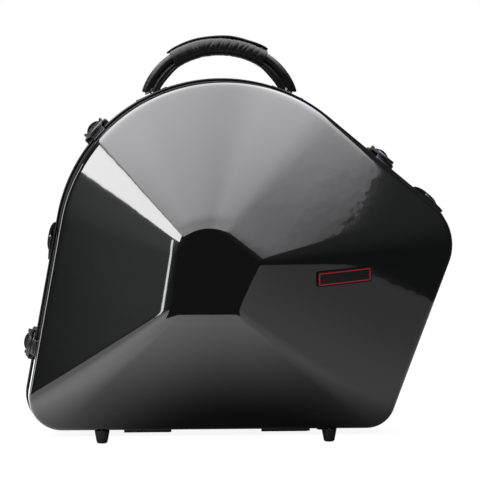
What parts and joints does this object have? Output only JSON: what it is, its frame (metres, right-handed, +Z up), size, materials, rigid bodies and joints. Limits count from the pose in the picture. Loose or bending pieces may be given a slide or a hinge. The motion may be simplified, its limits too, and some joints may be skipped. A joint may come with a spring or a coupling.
{
  "type": "french horn case",
  "caption": "Hard moulded French horn case that stands on its feet: hinged front and back half, latches round the rim, top carry handle, strap rings and a foam-lined horn pocket.",
  "frame": {"origin": "middle of the case on the floor, at the seam between the halves", "axes": "+X to the right seen from the front, +Z up, the front half with the plain badge faces -Y"},
  "size_m": [0.5709, 0.346, 0.5339],
  "materials": {
    "gloss_shell": "gloss",
    "black_rim": "satin",
    "black_rubber": "matte",
    "plush_foam": "matte",
    "black_nylon": "satin",
    "black_steel": "satin",
    "bright_steel": "polished",
    "leatherette": "satin",
    "badge_black": "satin"
  },
  "bodies": {
    "back_half": {"back_shell": "gloss_shell", "back_rim": "black_rim", "back_foam_liner": "plush_foam", "back_bell_cradle": "plush_foam", "back_left_foot": "black_rubber", "back_left_foot_screw": "black_steel", "back_right_foot": "black_rubber", "back_right_foot_screw": "black_steel", "accessory_tray": "plush_foam", "mouthpiece_holder": "black_rubber", "left_hinge_back_leaf": "black_steel", "left_hinge_pin": "bright_steel", "handle_left_bracket": "black_nylon", "left_strap_lug": "black_nylon", "right_hinge_back_leaf": "black_steel", "right_hinge_pin": "bright_steel", "handle_right_bracket": "black_nylon", "right_strap_lug": "black_nylon", "crown_latch_base": "black_nylon", "crown_lever_pin": "bright_steel", "upper_right_latch_base": "black_nylon", "upper_right_lever_pin": "bright_steel", "left_latch_base": "black_nylon", "left_lever_pin": "bright_steel"},
    "front_half": {"front_shell": "gloss_shell", "front_rim": "black_rim", "rim_seal": "black_rubber", "front_foam_liner": "plush_foam", "front_bell_cradle": "plush_foam", "front_left_foot": "black_rubber", "front_left_foot_screw": "black_steel", "front_right_foot": "black_rubber", "front_right_foot_screw": "black_steel", "left_hinge_front_leaf": "black_steel", "right_hinge_front_leaf": "black_steel", "badge_plate": "badge_black", "crown_latch_keeper": "black_steel", "upper_right_latch_keeper": "black_steel", "left_latch_keeper": "black_steel"},
    "handle": {"handle_body": "leatherette", "handle_grip": "leatherette", "handle_left_ring": "black_steel", "handle_right_ring": "black_steel"},
    "crown_lever": {"crown_latch_lever": "black_nylon", "crown_hook_pin": "bright_steel"},
    "crown_hook": {"crown_latch_hook": "black_steel"},
    "upper_right_lever": {"upper_right_latch_lever": "black_nylon", "upper_right_hook_pin": "bright_steel"},
    "upper_right_hook": {"upper_right_latch_hook": "black_steel"},
    "left_lever": {"left_latch_lever": "black_nylon", "left_hook_pin": "bright_steel"},
    "left_hook": {"left_latch_hook": "black_steel"},
    "left_ring": {"left_strap_ring": "bright_steel"},
    "right_ring": {"right_strap_ring": "bright_steel"}
  },
  "joints": [
    {"name": "lid_hinge", "type": "hinge", "parent": "back_half", "child": "front_half", "pos_m": [0, 0, 0.0094], "axis": [1, 0, 0], "range_deg": [0, 100]},
    {"name": "handle_hinge", "type": "hinge", "parent": "back_half", "child": "handle", "pos_m": [0, 0.023, 0.46136], "axis": [1, 0, 0], "range_deg": [-45, 45]},
    {"name": "crown_lever_hinge", "type": "hinge", "parent": "back_half", "child": "crown_lever", "pos_m": [-0.18744, 0.021, 0.40973], "axis": [0.6756, 0, 0.7373], "range_deg": [0, 100]},
    {"name": "crown_hook_hinge", "type": "hinge", "parent": "crown_lever", "child": "crown_hook", "pos_m": [-0.18789, 0.035, 0.41013], "axis": [0.6756, 0, 0.7373], "range_deg": [-95, 0]},
    {"name": "upper_right_lever_hinge", "type": "hinge", "parent": "back_half", "child": "upper_right_lever", "pos_m": [0.19619, 0.021, 0.37241], "axis": [0.7697, 0, -0.6384], "range_deg": [0, 100]},
    {"name": "upper_right_hook_hinge", "type": "hinge", "parent": "upper_right_lever", "child": "upper_right_hook", "pos_m": [0.19657, 0.035, 0.37287], "axis": [0.7697, 0, -0.6384], "range_deg": [-95, 0]},
    {"name": "left_lever_hinge", "type": "hinge", "parent": "back_half", "child": "left_lever", "pos_m": [-0.27522, 0.021, 0.12404], "axis": [0.1805, 0, 0.9836], "range_deg": [0, 100]},
    {"name": "left_hook_hinge", "type": "hinge", "parent": "left_lever", "child": "left_hook", "pos_m": [-0.27581, 0.035, 0.12415], "axis": [0.1805, 0, 0.9836], "range_deg": [-95, 0]},
    {"name": "left_ring_hinge", "type": "hinge", "parent": "back_half", "child": "left_ring", "pos_m": [-0.24751, 0.016, 0.26841], "axis": [0, 1, 0], "range_deg": [0, 150]},
    {"name": "right_ring_hinge", "type": "hinge", "parent": "back_half", "child": "right_ring", "pos_m": [0.25547, 0.016, 0.32169], "axis": [0, -1, 0], "range_deg": [0, 150]}
  ],
  "couplings": [
    {"joint": "crown_hook_hinge", "follows": "crown_lever_hinge", "ratio": -0.95},
    {"joint": "upper_right_hook_hinge", "follows": "upper_right_lever_hinge", "ratio": -0.95},
    {"joint": "left_hook_hinge", "follows": "left_lever_hinge", "ratio": -0.95}
  ]
}
